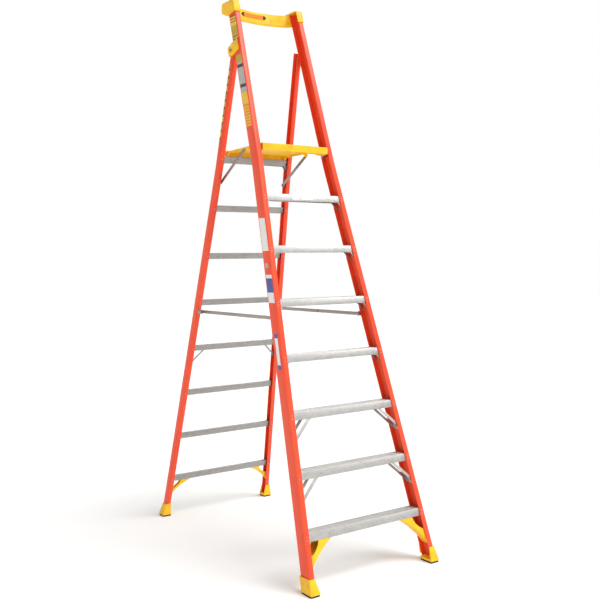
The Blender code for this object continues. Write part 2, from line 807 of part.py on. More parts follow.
def guard_rail(shop, frame, finish):
    """Caps over the front rails' tops, open on their inner sides, joined by the bowed bar and its lip."""
    rail_top = front_top_at * math.cos(FRONT_LEAN)
    top = rail_top + CAP_TOP_THICKNESS + TURN_GAP
    bar_top = top - GUARD_BAR_DROP
    bar_bottom = bar_top - GUARD_BAR_HEIGHT
    bar = guard_bar_outline(GUARD_BAR_THICKNESS, 0)
    made = shop.add("guard_rail", prism(bar, at_z(bar_bottom), at_z(bar_top)), frame, finish, level=True)
    lip = guard_bar_outline(GUARD_BAR_THICKNESS - OVERLAP, GUARD_LIP_DEPTH)
    lip_bottom = bar_bottom - OVERLAP
    shop.join(made, prism(lip, at_z(lip_bottom), at_z(lip_bottom + GUARD_LIP_HEIGHT)), level=True)
    front_low = front_rail_y(top - CAP_FRONT_DROP) - CAP_WALL
    front_high = front_rail_y(top) - CAP_WALL
    back = front_rail_y(rail_top) + front_thickness + CAP_REAR_REACH
    middle = (front_low + back) / 2
    cap = [
        (front_low, top - CAP_FRONT_DROP),
        (middle - CAP_WALL * 3, top - CAP_MID_DROP),
        (middle + CAP_WALL * 3, top - CAP_MID_DROP),
        (back, top - CAP_REAR_DROP),
        (back, top - CAP_WALL * 3),
        (back - CAP_WALL * 2, top),
        (front_high + CAP_WALL * 2, top),
        (front_high - CAP_WALL * 0.5, top - CAP_WALL * 2),
    ]
    outer = FRONT_TOP_HALF + CAP_WALL + GAP * 4
    well_floor = rail_top + TURN_GAP
    for side in SIDES.values():
        shop.join(made, prism(cap, at_x(side * cap_inner), at_x(side * outer)), level=True)
    for side in SIDES.values():

        def well(height, side=side):
            half = front_half_at_height(height)
            x_range = (cap_inner - CUT_PAST, half + TURN_GAP)
            y_range = (front_rail_y(height) - GAP, front_rail_y(height) + front_thickness + GAP)
            return square_place(side, x_range, y_range, height)

        unit = [(0, 0), (1, 0), (1, 1), (0, 1)]
        shop.cut(made, prism(unit, well(top - CAP_MID_DROP - CUT_PAST), well(well_floor)), level=True)


def deck_back():
    """Rearward distance from the platform's pivot to its rear edge, which rests on the last rung."""
    rest = rear_axes @ Vector((0, rung_back, rung_top(RUNG_COUNT) - rung_back * rear_slope))
    return rest.y - DECK_REST_INSET - deck_axes.translation.y


def deck_half(rearward):
    """Half the platform's width at a distance behind its pivot."""
    share = (rearward + DECK_NOSE_AHEAD) / (deck_back() + DECK_NOSE_AHEAD)
    front = front_half(deck_pivot_at) - FRONT_FLANGE - DECK_INSIDE_FRONT_FLANGE
    back = rear_half(rung_top(RUNG_COUNT)) - REAR_FLANGE - DECK_INSIDE_REAR_FLANGE
    return front + (back - front) * share


def deck_outline():
    """The platform from the side, round its pivot: nose, arched lower edge, links' ears, rest and lip."""
    top = DECK_ABOVE_PIVOT
    nose = -DECK_NOSE_AHEAD
    back = deck_back()
    low = top - DECK_NOSE_HEIGHT
    edge = top - DECK_EDGE_HEIGHT
    rest = top - DECK_REST_HEIGHT
    arch_start = nose + DECK_NOSE_LENGTH
    ear_front = LINK_ON_DECK - LINK_EAR_HALF
    ear_back = LINK_ON_DECK + LINK_EAR_HALF
    ear_low = -LINK_EAR_HALF
    return [
        (nose, low),
        (arch_start, low),
        (arch_start + (edge - low) * ARCH_EASE, (low + edge) / 2),
        (ear_front - LINK_EAR_HALF, edge),
        (ear_front, ear_low),
        (ear_back, ear_low),
        (ear_back + LINK_EAR_HALF, edge),
        (back - DECK_REST_LENGTH - (edge - rest), edge),
        (back - DECK_REST_LENGTH, rest),
        (back, rest),
        (back, top + DECK_LIP_HEIGHT),
        (back - DECK_LIP_THICKNESS, top + DECK_LIP_HEIGHT),
        (back - DECK_LIP_THICKNESS, top),
        (nose + DECK_ROUND, top),
        (nose, top - DECK_ROUND),
    ]


def platform(shop, frame, finish):
    """The standing deck: a sheet with skirts, pierced for the pins that it turns on."""
    shape = prism(
        deck_outline(),
        lambda y, z: (-deck_half(y), y, z),
        lambda y, z: (deck_half(y), y, z),
    )
    made = shop.add("platform", shape, frame, finish)
    under = DECK_ABOVE_PIVOT - DECK_THICKNESS
    below = -DECK_NOSE_HEIGHT
    front = -DECK_NOSE_AHEAD + DECK_NOSE_WALL
    back = deck_back() - DECK_LIP_THICKNESS
    pocket = [(front, below), (back, below), (back, under), (front, under)]
    hollow = prism(
        pocket,
        lambda y, z: (-deck_half(y) + DECK_WALL, y, z),
        lambda y, z: (deck_half(y) - DECK_WALL, y, z),
    )
    shop.cut(made, hollow)
    shop.cut(made, cylinder_x(DECK_PIN_RADIUS + HOLE_GAP, -2 * deck_half(0), 2 * deck_half(0), 0, 0))


def hinge_blocks(shop, frame, finish):
    """Blocks in the front rails' channels, with the pins that the platform turns on."""
    low = deck_pivot_at - HINGE_BLOCK_HEIGHT / 2
    high = deck_pivot_at + HINGE_BLOCK_HEIGHT / 2
    outline = [(step_front, low), (step_back, low), (step_back, high), (step_front, high)]
    pin_inner = deck_half(0) - DECK_PIN_REACH
    for label, side in SIDES.items():
        shape = prism(
            outline,
            lambda y, z, side=side: (side * (front_half(z) - FRONT_FLANGE + GAP), y, z),
            lambda y, z, side=side: (side * front_inside(z), y, z),
        )
        made = shop.add(f"platform_hinge_{label}", shape, frame, finish)
        pin_outer = front_inside(high) - FRONT_WALL
        pin = cylinder_x(DECK_PIN_RADIUS, side * pin_inner, side * pin_outer, DECK_PIVOT_DEPTH, deck_pivot_at)
        shop.join(made, pin)


def flat_bar(length, width):
    """A flat bar's outline with round ends, along z from its pivot, which is at the origin."""
    radius = width / 2
    return [
        *arc((0.0, 0.0), radius, 180, 360, BAR_END_STEPS),
        *arc((0.0, length), radius, 0, 180, BAR_END_STEPS),
    ]


def pointing(start, end):
    """Axes at start whose z points at end."""
    along = end - start
    return Matrix.Translation(start) @ Matrix.Rotation(-math.atan2(along.y, along.z), 4, "X")


def links(shop, rear_frame, finish, metal):
    foot = rear_axes @ Vector((0, 0, -LINK_BELOW_HINGE))
    head = deck_axes @ Vector((0, LINK_ON_DECK, 0))
    outline = flat_bar((head - foot).length, LINK_WIDTH)
    inner = deck_half(LINK_ON_DECK) + LINK_BESIDE_DECK
    outer = inner + LINK_THICKNESS
    for label, side in SIDES.items():
        frame = empty_at(f"link_{label}_axis", pointing(foot, head), shop.parts)
        shape = prism(outline, at_x(side * inner), at_x(side * outer))
        made = shop.add(f"platform_link_{label}", shape, frame, finish)
        hole = cylinder_x(
            LINK_PIN_RADIUS + HOLE_GAP,
            side * (inner - CUT_PAST),
            side * (outer + CUT_PAST),
            0,
            0,
        )
        shop.cut(made, hole)
        head_outer = inner - GAP
        web = rear_inside(LINK_PIN_HEAD_RADIUS - LINK_BELOW_HINGE)
        profile = [
            (0.0, web),
            (LINK_PIN_HEAD_RADIUS, web),
            (LINK_PIN_HEAD_RADIUS, outer + TURN_GAP),
            (LINK_PIN_RADIUS, outer + TURN_GAP),
            (LINK_PIN_RADIUS, head_outer),
            (LINK_PIN_HEAD_RADIUS, head_outer),
            (LINK_PIN_HEAD_RADIUS, head_outer - LINK_PIN_HEAD_HEIGHT),
            (0.0, head_outer - LINK_PIN_HEAD_HEIGHT),
        ]
        shop.turned(f"link_pin_{label}", profile, rear_frame, (0, -LINK_BELOW_HINGE), side, metal)


def spreader_points():
    """The front and rear pivots and the middle of a spreader, straight when the ladder stands open."""
    front = front_axes @ Vector((0, spreader_front_depth, SPREADER_FRONT_AT))
    rear = rear_axes @ Vector((0, spreader_rear_depth, -SPREADER_REAR_AT))
    rise_closed = hinge_at - SPREADER_REAR_AT - SPREADER_FRONT_AT
    front_length = ((rear - front).length - rise_closed) / 2
    return front, rear, front + (rear - front).normalized() * front_length


def spreader_bracket_outline(side, ear_inner, ear_depths, foot_depths, foot_outer):
    """An ear beside the bar with a foot on the rail's flange, seen along the rail."""
    ear_outer = ear_inner + SPREADER_BRACKET_THICKNESS
    outline = [
        (ear_inner, ear_depths[0]),
        (ear_outer, ear_depths[0]),
        (ear_outer, foot_depths[0]),
        (foot_outer, foot_depths[0]),
        (foot_outer, foot_depths[1]),
        (ear_outer, foot_depths[1]),
        (ear_outer, ear_depths[1]),
        (ear_inner, ear_depths[1]),
    ]
    return [(side * x, y) for x, y in outline]


def spreaders(shop, front_frame, rear_frame, finish, metal):
    front, rear, middle = spreader_points()
    radius = SPREADER_WIDTH / 2
    front_flange = front_half(SPREADER_FRONT_AT) - FRONT_FLANGE
    rear_flange = rear_half(-SPREADER_REAR_AT) - REAR_FLANGE
    both_bars = 2 * SPREADER_THICKNESS + TURN_GAP
    outer = min(
        front_flange - SPREADER_INSIDE_FRONT_FLANGE + SPREADER_THICKNESS,
        rear_flange - SPREADER_INSIDE_REAR_FLANGE + SPREADER_THICKNESS + TURN_GAP,
    )
    rear_bar = (outer - both_bars, outer - both_bars + SPREADER_THICKNESS)
    front_bar = (outer - SPREADER_THICKNESS, outer)
    front_foot = (FRONT_DEPTH + GAP, FRONT_DEPTH + GAP + SPREADER_BRACKET_THICKNESS)
    rear_face = -REAR_DEPTH / 2 - GAP
    rear_foot = (rear_face - SPREADER_BRACKET_THICKNESS, rear_face)
    front_ear = (spreader_front_depth - radius, spreader_front_depth + radius)
    rear_ear = (spreader_rear_depth - radius, spreader_rear_depth + radius)
    half_height = SPREADER_BRACKET_HEIGHT / 2
    for label, side in SIDES.items():
        for end, start, bar in (("front", front, front_bar), ("rear", rear, rear_bar)):
            frame = empty_at(f"spreader_{end}_{label}_axis", pointing(start, middle), shop.parts)
            outline = flat_bar((middle - start).length, SPREADER_WIDTH)
            shape = prism(outline, at_x(side * bar[0]), at_x(side * bar[1]))
            shop.add(f"spreader_{end}_{label}", shape, frame, finish)
        front_outline = spreader_bracket_outline(
            side, front_bar[1] + GAP, front_ear, front_foot, front_flange + SPREADER_BRACKET_FOOT
        )
        low, high = SPREADER_FRONT_AT - half_height, SPREADER_FRONT_AT + half_height
        shape = prism(front_outline, at_z(low), at_z(high))
        shop.add(f"spreader_bracket_front_{label}", shape, front_frame, metal)
        rear_outline = spreader_bracket_outline(
            side, rear_bar[1] + GAP, rear_ear, rear_foot, rear_flange + SPREADER_BRACKET_FOOT
        )
        low, high = -SPREADER_REAR_AT - half_height, -SPREADER_REAR_AT + half_height
        shape = prism(rear_outline, at_z(low), at_z(high))
        shop.add(f"spreader_bracket_rear_{label}", shape, rear_frame, metal)


def main():
    shop = Workshop()
    orange = material("orange_fibreglass", (0.87, 0.11, 0.04), 0.45, 0.0)
    yellow = material("yellow_plastic", (0.93, 0.60, 0.01), 0.40, 0.0)
    aluminium = material("mill_aluminium", (0.72, 0.71, 0.69), 0.38, 1.0)
    steel = material("zinc_steel", (0.42, 0.37, 0.35), 0.35, 1.0)
    rubber = material("black_rubber", (0.02, 0.02, 0.02), 0.80, 0.0)
    front_frame = empty_at("front_frame_axis", front_axes, shop.parts)
    rear_frame = empty_at("rear_frame_axis", rear_axes, shop.parts)
    deck_frame = empty_at("platform_axis", deck_axes, shop.parts)
    front_rails(shop, front_frame, orange)
    rear_rails(shop, rear_frame, orange)
    steps(shop, front_frame, aluminium)
    rungs(shop, rear_frame, aluminium)
    braces(shop, front_frame, rear_frame, yellow, aluminium)
    boots(shop, front_frame, rear_frame, yellow, rubber)
    pivot_brackets(shop, front_frame, yellow, steel)
    guard_rail(shop, front_frame, yellow)
    platform(shop, deck_frame, yellow)
    hinge_blocks(shop, front_frame, steel)
    links(shop, rear_frame, steel, steel)
    spreaders(shop, front_frame, rear_frame, steel, steel)


main()
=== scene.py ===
import json
import math

import bmesh
import bpy
from mathutils import Matrix, Vector
from mathutils.bvhtree import BVHTree

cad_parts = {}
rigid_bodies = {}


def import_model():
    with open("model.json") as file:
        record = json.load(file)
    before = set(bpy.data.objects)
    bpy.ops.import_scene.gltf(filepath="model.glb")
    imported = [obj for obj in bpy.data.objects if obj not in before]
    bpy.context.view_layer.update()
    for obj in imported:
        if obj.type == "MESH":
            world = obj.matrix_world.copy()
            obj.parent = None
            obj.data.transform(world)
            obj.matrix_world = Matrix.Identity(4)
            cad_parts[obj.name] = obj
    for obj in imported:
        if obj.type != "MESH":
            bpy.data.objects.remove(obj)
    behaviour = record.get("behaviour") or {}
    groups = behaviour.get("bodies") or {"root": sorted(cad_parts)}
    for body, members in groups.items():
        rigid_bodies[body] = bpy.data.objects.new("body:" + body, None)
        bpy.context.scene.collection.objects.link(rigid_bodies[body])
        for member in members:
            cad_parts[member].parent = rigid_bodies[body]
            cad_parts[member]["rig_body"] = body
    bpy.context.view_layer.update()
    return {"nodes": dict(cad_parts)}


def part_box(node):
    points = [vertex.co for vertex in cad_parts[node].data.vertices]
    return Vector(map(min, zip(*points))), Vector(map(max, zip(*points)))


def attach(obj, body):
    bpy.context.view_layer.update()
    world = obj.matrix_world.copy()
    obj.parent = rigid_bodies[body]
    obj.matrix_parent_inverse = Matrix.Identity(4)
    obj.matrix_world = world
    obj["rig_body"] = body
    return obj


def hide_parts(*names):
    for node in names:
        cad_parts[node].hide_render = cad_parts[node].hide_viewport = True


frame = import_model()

nodes = frame["nodes"]
sides = {"left": -1, "right": 1}
print("frame loaded:", len(nodes), "nodes")

# Where the two frames stand. "Along" runs up a frame's rails: from the foot in front, from the hinge behind.
stance = {
    "frontLean": math.radians(16.674),
    "rearLean": math.radians(14.404),
    "frontFoot": Vector((0, -0.87018, 0)),
    "hinge": Vector((0, 0.10717, 2.89988)),
}
frontAxes = Matrix.Translation(stance["frontFoot"]) @ Matrix.Rotation(-stance["frontLean"], 4, "X")
rearAxes = Matrix.Translation(stance["hinge"]) @ Matrix.Rotation(stance["rearLean"], 4, "X")
treeOf = {}


def turned(axes, direction):
    return (axes.to_3x3() @ Vector(direction)).normalized()


def surfacePoint(node, start, direction):
    # the point of a CAD node that a line from start meets first, and the way its face looks
    if node not in treeOf:
        mesh = nodes[node].data
        corners = [vertex.co.copy() for vertex in mesh.vertices]
        treeOf[node] = BVHTree.FromPolygons(corners, [list(face.vertices) for face in mesh.polygons])
    direction = Vector(direction).normalized()
    point, normal, _, _ = treeOf[node].ray_cast(Vector(start), direction)
    if point is None:
        raise ValueError(f"no surface of {node} on the line from {tuple(start)}")
    return point, (normal if normal.dot(direction) < 0 else -normal)


# Materials. Each works on Object coordinates in metres, so a scale of 1000 / size in mm sets a pattern.


def srgb(code):
    parts = [int(code[i:i + 2], 16) / 255 for i in (0, 2, 4)]
    return tuple(p / 12.92 if p <= 0.04045 else ((p + 0.055) / 1.055) ** 2.4 for p in parts) + (1.0,)


def addNode(tree, kind, values=None, links=None, **settings):
    node = tree.nodes.new(kind)
    for name, value in settings.items():
        setattr(node, name, value)
    for name, value in (values or {}).items():
        node.inputs[name].default_value = value
    for name, source in (links or {}).items():
        tree.links.new(source, node.inputs[name])
    return node


def blankMaterial(name, metallic, roughness, ior=None):
    made = bpy.data.materials.new(name)
    made.use_nodes = True
    tree = made.node_tree
    shader = tree.nodes["Principled BSDF"]
    shader.inputs["Metallic"].default_value = metallic
    shader.inputs["Roughness"].default_value = roughness
    if ior is not None:
        shader.inputs["IOR"].default_value = ior
    place = addNode(tree, "ShaderNodeTexCoord").outputs["Object"]
    return made, tree, shader, place


fibreglass = {"colour": "f2481c", "pale": "fb5e32", "deep": "e43d12", "strand": 7.0, "strandLength": 260.0,
              "mat": 1.6, "patch": 312.5, "fading": 0.35, "gloss": (0.36, 0.52), "relief": 0.35}


def pultrudedFibreglass(name, lean):
    # pultruded glass fibre in orange polyester: a satin skin with faint long strands and a fine glass mat
    made, tree, shader, place = blankMaterial(name, 0.0, fibreglass["gloss"][0], 1.52)
    upright = addNode(tree, "ShaderNodeMapping", {"Rotation": (lean, 0, 0)}, {"Vector": place})
    across = 1000 / fibreglass["strand"]
    stretched = addNode(tree, "ShaderNodeMapping",
                        {"Scale": (across, across, 1000 / fibreglass["strandLength"])},
                        {"Vector": upright.outputs["Vector"]})
    strands = addNode(tree, "ShaderNodeTexNoise", {"Scale": 1.0, "Detail": 4.0, "Roughness": 0.6},
                      {"Vector": stretched.outputs["Vector"]})
    mat = addNode(tree, "ShaderNodeTexNoise", {"Scale": 1000 / fibreglass["mat"], "Detail": 2.0},
                  {"Vector": place})
    fade = addNode(tree, "ShaderNodeTexNoise", {"Scale": 1000 / fibreglass["patch"], "Detail": 2.0},
                   {"Vector": place})
    strandColour = addNode(tree, "ShaderNodeValToRGB", links={"Fac": strands.outputs["Fac"]})
    strandColour.color_ramp.elements[0].position = 0.30
    strandColour.color_ramp.elements[0].color = srgb(fibreglass["deep"])
    strandColour.color_ramp.elements[1].position = 0.62
    strandColour.color_ramp.elements[1].color = srgb(fibreglass["colour"])
    aged = addNode(tree, "ShaderNodeMix", {7: srgb(fibreglass["pale"])},
                   {6: strandColour.outputs["Color"]}, data_type="RGBA")
    ageAmount = addNode(tree, "ShaderNodeMapRange",
                        {"From Min": 0.35, "From Max": 0.75, "To Min": 0.0, "To Max": fibreglass["fading"]},
                        {"Value": fade.outputs["Fac"]})
    tree.links.new(ageAmount.outputs["Result"], aged.inputs[0])
    tree.links.new(aged.outputs[2], shader.inputs["Base Color"])
    gloss = addNode(tree, "ShaderNodeMapRange",
                    {"From Min": 0.3, "From Max": 0.7, "To Min": fibreglass["gloss"][0],
                     "To Max": fibreglass["gloss"][1]},
                    {"Value": strands.outputs["Fac"]})
    tree.links.new(gloss.outputs["Result"], shader.inputs["Roughness"])
    relief = addNode(tree, "ShaderNodeMath", {2: 0.25}, {0: mat.outputs["Fac"], 1: strands.outputs["Fac"]},
                     operation="MULTIPLY_ADD")
    bump = addNode(tree, "ShaderNodeBump", {"Strength": fibreglass["relief"], "Distance": 0.0002},
                   {"Height": relief.outputs[0]})
    tree.links.new(bump.outputs["Normal"], shader.inputs["Normal"])
    return made


mouldedPlastic = {"colour": "fdc70c", "deep": "f0b203", "grain": 1.1, "flow": 90.0, "gloss": (0.38, 0.52),
                  "relief": 0.18}


def mouldedYellow(name):
    # injection-moulded polypropylene, through-coloured yellow: a fine spark-eroded grain and soft flow marks
    made, tree, shader, place = blankMaterial(name, 0.0, mouldedPlastic["gloss"][0], 1.49)
    grain = addNode(tree, "ShaderNodeTexVoronoi", {"Scale": 1000 / mouldedPlastic["grain"]},
                    {"Vector": place}, feature="F1")
    flow = addNode(tree, "ShaderNodeTexNoise",
                   {"Scale": 1000 / mouldedPlastic["flow"], "Detail": 3.0, "Distortion": 0.8},
                   {"Vector": place})
    tint = addNode(tree, "ShaderNodeValToRGB", links={"Fac": flow.outputs["Fac"]})
    tint.color_ramp.elements[0].position = 0.28
    tint.color_ramp.elements[0].color = srgb(mouldedPlastic["deep"])
    tint.color_ramp.elements[1].position = 0.66
    tint.color_ramp.elements[1].color = srgb(mouldedPlastic["colour"])
    tree.links.new(tint.outputs["Color"], shader.inputs["Base Color"])
    gloss = addNode(tree, "ShaderNodeMapRange",
                    {"From Min": 0.3, "From Max": 0.7, "To Min": mouldedPlastic["gloss"][0],
                     "To Max": mouldedPlastic["gloss"][1]},
                    {"Value": flow.outputs["Fac"]})
    tree.links.new(gloss.outputs["Result"], shader.inputs["Roughness"])
    bump = addNode(tree, "ShaderNodeBump", {"Strength": mouldedPlastic["relief"], "Distance": 0.00015},
                   {"Height": grain.outputs["Distance"]})
    tree.links.new(bump.outputs["Normal"], shader.inputs["Normal"])
    return made


# The rung pair of colours is the same aluminium painted darker: painted shade on the rungs' fronts, a shaded
# copy of the steps' metal. The ribs on the rungs keep the lighter step pair.
extrusion = {"colour": "b6b4b1", "bright": "c4c2bf", "rungShadeColour": "9c9a97", "rungShadeBright": "aaa8a5",
             "dieLine": 1.3, "lineLength": 420.0, "scuff": 26.0, "gloss": (0.42, 0.54), "relief": 0.12}


def extrudedAluminium(name, colour, bright):
    # mill-finish extruded aluminium: die lines along the step, and a little dulling where shoes have rubbed
    made, tree, shader, place = blankMaterial(name, 1.0, extrusion["gloss"][0])
    across = 1000 / extrusion["dieLine"]
    lines = addNode(tree, "ShaderNodeMapping",
                    {"Scale": (1000 / extrusion["lineLength"], across, across)}, {"Vector": place})
    dieLines = addNode(tree, "ShaderNodeTexNoise", {"Scale": 1.0, "Detail": 3.0, "Roughness": 0.7},
                       {"Vector": lines.outputs["Vector"]})
    scuffs = addNode(tree, "ShaderNodeTexNoise",
                     {"Scale": 1000 / extrusion["scuff"], "Detail": 5.0, "Roughness": 0.65},
                     {"Vector": place})
    tint = addNode(tree, "ShaderNodeValToRGB", links={"Fac": scuffs.outputs["Fac"]})
    tint.color_ramp.elements[0].position = 0.30
    tint.color_ramp.elements[0].color = srgb(colour)
    tint.color_ramp.elements[1].position = 0.60
    tint.color_ramp.elements[1].color = srgb(bright)
    tree.links.new(tint.outputs["Color"], shader.inputs["Base Color"])
    mixed = addNode(tree, "ShaderNodeMath", None, {0: dieLines.outputs["Fac"], 1: scuffs.outputs["Fac"]},
                    operation="ADD")
    gloss = addNode(tree, "ShaderNodeMapRange",
                    {"From Min": 0.7, "From Max": 1.3, "To Min": extrusion["gloss"][0],
                     "To Max": extrusion["gloss"][1]},
                    {"Value": mixed.outputs[0]})
    tree.links.new(gloss.outputs["Result"], shader.inputs["Roughness"])
    bump = addNode(tree, "ShaderNodeBump", {"Strength": extrusion["relief"], "Distance": 0.0001},
                   {"Height": dieLines.outputs["Fac"]})
    tree.links.new(bump.outputs["Normal"], shader.inputs["Normal"])
    return made


plating = {"colour": "9a8f88", "pale": "b0a59e", "spangle": 9.0, "gloss": (0.34, 0.54), "relief": 0.12}


def platedSteel(name, colour, pale):
    # zinc-plated, passivated steel strip: a dull warm grey with a faint crystal spangle
    made, tree, shader, place = blankMaterial(name, 1.0, plating["gloss"][0])
    spangle = addNode(tree, "ShaderNodeTexVoronoi", {"Scale": 1000 / plating["spangle"]}, {"Vector": place})
    haze = addNode(tree, "ShaderNodeTexNoise", {"Scale": 42.0, "Detail": 4.0}, {"Vector": place})
    tint = addNode(tree, "ShaderNodeMix", {6: srgb(colour), 7: srgb(pale)},
                   {0: haze.outputs["Fac"]}, data_type="RGBA")
    tree.links.new(tint.outputs[2], shader.inputs["Base Color"])
    gloss = addNode(tree, "ShaderNodeMapRange",
                    {"From Min": 0.0, "From Max": 1.0, "To Min": plating["gloss"][0],
                     "To Max": plating["gloss"][1]},
                    {"Value": spangle.outputs["Color"]})
    tree.links.new(gloss.outputs["Result"], shader.inputs["Roughness"])
    bump = addNode(tree, "ShaderNodeBump", {"Strength": plating["relief"], "Distance": 0.0001},
                   {"Height": haze.outputs["Fac"]})
    tree.links.new(bump.outputs["Normal"], shader.inputs["Normal"])
    return made


def treadRubber(name):
    # moulded nitrile rubber: nearly black, matte, with a dusty bloom in the pores
    made, tree, shader, place = blankMaterial(name, 0.0, 0.85, 1.52)
    pores = addNode(tree, "ShaderNodeTexNoise", {"Scale": 1000 / 1.8, "Detail": 3.0}, {"Vector": place})
    dust = addNode(tree, "ShaderNodeTexNoise", {"Scale": 30.0, "Detail": 4.0}, {"Vector": place})
    tint = addNode(tree, "ShaderNodeMix", {6: srgb("1b1b1c"), 7: srgb("37352f")},
                   {0: dust.outputs["Fac"]}, data_type="RGBA")
    tree.links.new(tint.outputs[2], shader.inputs["Base Color"])
    bump = addNode(tree, "ShaderNodeBump", {"Strength": 0.5, "Distance": 0.0003},
                   {"Height": pores.outputs["Fac"]})
    tree.links.new(bump.outputs["Normal"], shader.inputs["Normal"])
    return made


def printedVinyl(name, colour, worn):
    # a printed vinyl sticker: flat colour under a thin clear film, with faint rubbing
    made, tree, shader, place = blankMaterial(name, 0.0, 0.35, 1.5)
    rub = addNode(tree, "ShaderNodeTexNoise", {"Scale": 1000 / 12, "Detail": 5.0, "Roughness": 0.7},
                  {"Vector": place})
    amount = addNode(tree, "ShaderNodeMapRange",
                     {"From Min": 0.52, "From Max": 0.75, "To Min": 0.0, "To Max": 0.7},
                     {"Value": rub.outputs["Fac"]})
    tint = addNode(tree, "ShaderNodeMix", {6: srgb(colour), 7: srgb(worn)},
                   {0: amount.outputs["Result"]}, data_type="RGBA")
    tree.links.new(tint.outputs[2], shader.inputs["Base Color"])
    gloss = addNode(tree, "ShaderNodeMapRange",
                    {"From Min": 0.3, "From Max": 0.7, "To Min": 0.28, "To Max": 0.5},
                    {"Value": rub.outputs["Fac"]})
    tree.links.new(gloss.outputs["Result"], shader.inputs["Roughness"])
    return made


orangeFront = pultrudedFibreglass("pultruded_fibreglass_front", stance["frontLean"])
orangeRear = pultrudedFibreglass("pultruded_fibreglass_rear", -stance["rearLean"])
yellow = mouldedYellow("moulded_yellow_plastic")
aluminium = extrudedAluminium("mill_finish_aluminium", extrusion["colour"], extrusion["bright"])
# The rungs get a darker copy of the aluminium as painted shade.
rungAluminiumPaintedShade = extrudedAluminium("rung_aluminium_painted_shade", extrusion["rungShadeColour"], extrusion["rungShadeBright"])
steel = platedSteel("plated_steel", plating["colour"], plating["pale"])
rivetMetal = platedSteel("rivet_aluminium", "9d9791", "b5afa9")
rubber = treadRubber("tread_rubber")
vinyl = {
    "white": printedVinyl("white_vinyl", "ecebe8", "c9c4be"),
    "yellow": printedVinyl("yellow_vinyl", "f0c02a", "c99a2c"),
    "amber": printedVinyl("amber_vinyl", "f08a1e", "c8641c"),
    "olive": printedVinyl("olive_vinyl", "b9a325", "8f7a26"),
    "brown": printedVinyl("brown_vinyl", "7a4a1c", "9a6a3a"),
    "silver": printedVinyl("silver_vinyl", "b4b0a8", "8e8a84"),
    "black": printedVinyl("black_vinyl", "34302d", "57514b"),
    "blue": printedVinyl("blue_vinyl", "3c4f9a", "7280b4"),
}
print("materials made")

# Pieces that keep the CAD shape get their edges rounded.


def addObject(name, mesh):
    made = bpy.data.objects.new(name, mesh)
    bpy.context.scene.collection.objects.link(made)
    return made


def finishPiece(made, body):
    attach(made, body)
    return made


def roundedPiece(node, material, edge, segments=2, angle=32):
    shape = bmesh.new()
    shape.from_mesh(nodes[node].data)
    bmesh.ops.remove_doubles(shape, verts=shape.verts, dist=0.00002)
    bmesh.ops.dissolve_limit(shape, angle_limit=math.radians(0.6), verts=shape.verts, edges=shape.edges)
    for face in shape.faces:
        face.smooth = True
    mesh = bpy.data.meshes.new(node + "_shape")
    shape.to_mesh(mesh)
    shape.free()
    mesh.materials.append(material)
    made = addObject(node + "_piece", mesh)
    bevel = made.modifiers.new("rounded edges", "BEVEL")
    bevel.width = edge
    bevel.segments = segments
    bevel.limit_method = "ANGLE"
    bevel.angle_limit = math.radians(angle)
    bevel.harden_normals = True
    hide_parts(node)
    return finishPiece(made, nodes[node]["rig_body"])


edges = {"rail": 0.0008, "step": 0.0006, "rung": 0.0005, "knee": 0.0009, "strap": 0.0004, "boot": 0.0016,
         "pad": 0.0012, "bracket": 0.0012, "bolt": 0.0006, "guard": 0.0025, "platform": 0.0011, "bar": 0.0005}

dressing = (
    ("front_rail", orangeFront, "rail"),
    ("rear_rail", orangeRear, "rail"),
    ("step_brace", aluminium, "strap"),
    ("rung_brace", rungAluminiumPaintedShade, "strap"),
    ("step_", aluminium, "step"),
    ("rear_rung", rungAluminiumPaintedShade, "rung"),
    ("knee_brace", yellow, "knee"),
    ("boot", yellow, "boot"),
    ("pad", rubber, "pad"),
    ("pivot_bracket", yellow, "bracket"),
    ("pivot_bolt", steel, "bolt"),
    ("guard_rail", yellow, "guard"),
    ("platform_hinge", steel, "bracket"),
    ("platform_link", steel, "bar"),
    ("platform", yellow, "platform"),
    ("link_pin", steel, "bolt"),
    ("spreader_bracket", steel, "bar"),
    ("spreader", steel, "bar"),
)
for node in sorted(nodes):
    _, material, kind = next(row for row in dressing if node.startswith(row[0]))
    roundedPiece(node, material, edges[kind])
print("CAD pieces rounded and finished")

# Geometry Nodes: heads of rivets, and the ribs of treads.


def newTree(name, sockets):
    tree = bpy.data.node_groups.new(name, "GeometryNodeTree")
    tree.interface.new_socket("Geometry", in_out="INPUT", socket_type="NodeSocketGeometry")
    made = {}
    for label, kind in sockets:
        made[label] = tree.interface.new_socket(label, in_out="INPUT", socket_type=kind).identifier
    tree.interface.new_socket("Geometry", in_out="OUTPUT", socket_type="NodeSocketGeometry")
    return tree, tree.nodes.new("NodeGroupInput"), tree.nodes.new("NodeGroupOutput"), made


def grown(name, seedMesh, tree, identifiers, values):
    # runs a tree on a seed mesh and keeps the plain result
    seed = addObject(name + "_seed", seedMesh)
    modifier = seed.modifiers.new("grow", "NODES")
    modifier.node_group = tree
    for label, value in values.items():
        modifier[identifiers[label]] = value
    graph = bpy.context.evaluated_depsgraph_get()
    mesh = bpy.data.meshes.new_from_object(seed.evaluated_get(graph))
    seed.modifiers.remove(modifier)
    bpy.data.objects.remove(seed)
    mesh.name = name
    return addObject(name, mesh)


